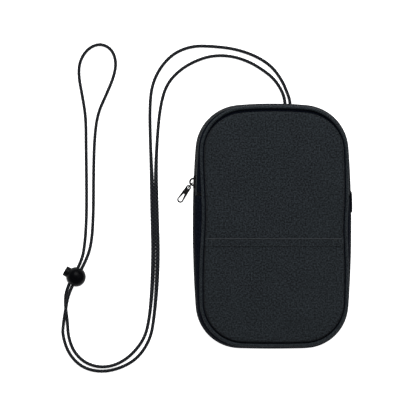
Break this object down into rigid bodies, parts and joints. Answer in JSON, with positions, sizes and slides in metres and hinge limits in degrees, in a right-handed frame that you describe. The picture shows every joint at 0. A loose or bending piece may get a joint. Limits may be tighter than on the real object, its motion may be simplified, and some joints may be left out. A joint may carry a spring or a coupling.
{
  "type": "neck pouch wallet",
  "caption": "Flat padded neck pouch with piped edges, a zip over its top, a slip pocket on its front, and a doubled neck cord through a sprung ball cord lock.",
  "frame": {"origin": "middle of the back panel's outer face", "axes": "+Y to the pouch's top, where the cord leaves; +Z out of the front; +X to the right as the front is looked at"},
  "size_m": [0.2094, 0.2378, 0.0212],
  "materials": {
    "pouch_fabric": "fine plain-weave nylon, matte",
    "piping_fabric": "smooth nylon strip over a round cord, matte",
    "gusset_fabric": "tight nylon weave, matte, slightly blue",
    "padding": null,
    "lining": "thin woven lining",
    "zip_tape": "woven tape",
    "zip_coil": "moulded coil, faint sheen",
    "slider_metal": "black paint, semi-gloss",
    "puller_metal": "black paint, semi-gloss, ribbed grip",
    "cord": "braided polyester cord",
    "anchor_fabric": "folded tape, stitched",
    "lock_plastic": "moulded, satin",
    "button_plastic": "moulded, satin",
    "spring_steel": "bare wire"
  },
  "bodies": {
    "pouch": {"back_panel": "pouch_fabric", "back_padding": "padding", "back_lining": "lining", "back_piping": "piping_fabric", "front_panel": "pouch_fabric", "front_padding": "padding", "front_lining": "lining", "front_piping": "piping_fabric", "pocket_panel": "pouch_fabric", "pocket_hem": "pouch_fabric", "gusset": "gusset_fabric", "gusset_back_strip": "gusset_fabric", "gusset_front_sides": "gusset_fabric", "zip_tape_back": "zip_tape", "zip_tape_front_sides": "zip_tape", "zip_coil_back": "zip_coil", "zip_coil_front_sides": "zip_coil", "zip_stops": "zip_coil", "zip_end_cover": "gusset_fabric", "neck_cord": "cord", "cord_anchor": "anchor_fabric"},
    "flap": {"flap_panel": "pouch_fabric", "flap_padding": "padding", "flap_lining": "lining", "flap_piping": "piping_fabric", "flap_gusset_strip": "gusset_fabric", "flap_zip_tape": "zip_tape", "flap_zip_coil": "zip_coil"},
    "slider": {"slider_body": "slider_metal"},
    "link": {"puller_link": "slider_metal"},
    "puller": {"zip_puller": "puller_metal"},
    "cord_lock": {"lock_body": "lock_plastic", "lock_spring": "spring_steel"},
    "button": {"lock_button": "button_plastic"}
  },
  "joints": [
    {"name": "flap_fold", "type": "hinge", "parent": "pouch", "child": "flap", "pos_m": [0, 0.0375, 0.02], "axis": [1, 0, 0], "range_deg": [0, 90]},
    {"name": "slider_slide", "type": "slide", "parent": "pouch", "child": "slider", "axis": [0.0508, 0.9987, 0], "range_m": [0, 0.018]},
    {"name": "link_swing", "type": "hinge", "parent": "slider", "child": "link", "pos_m": [-0.05667, 0.03172, 0.01], "axis": [0, 0, 1], "range_deg": [-104, 0]},
    {"name": "puller_swing", "type": "hinge", "parent": "link", "child": "puller", "pos_m": [-0.06008, 0.02779, 0.01], "axis": [0, 0, 1], "range_deg": [-40, 30]},
    {"name": "lock_slide", "type": "slide", "parent": "pouch", "child": "cord_lock", "axis": [0.5004, 0.8658, 0], "range_m": [-0.0025, 0.0025]},
    {"name": "button_press", "type": "slide", "parent": "cord_lock", "child": "button", "axis": [0.8658, -0.5004, 0], "range_m": [0, 0.0016], "stiffness_N_per_m": 600, "springref_m": -0.001, "deforming": ["lock_spring"]}
  ]
}
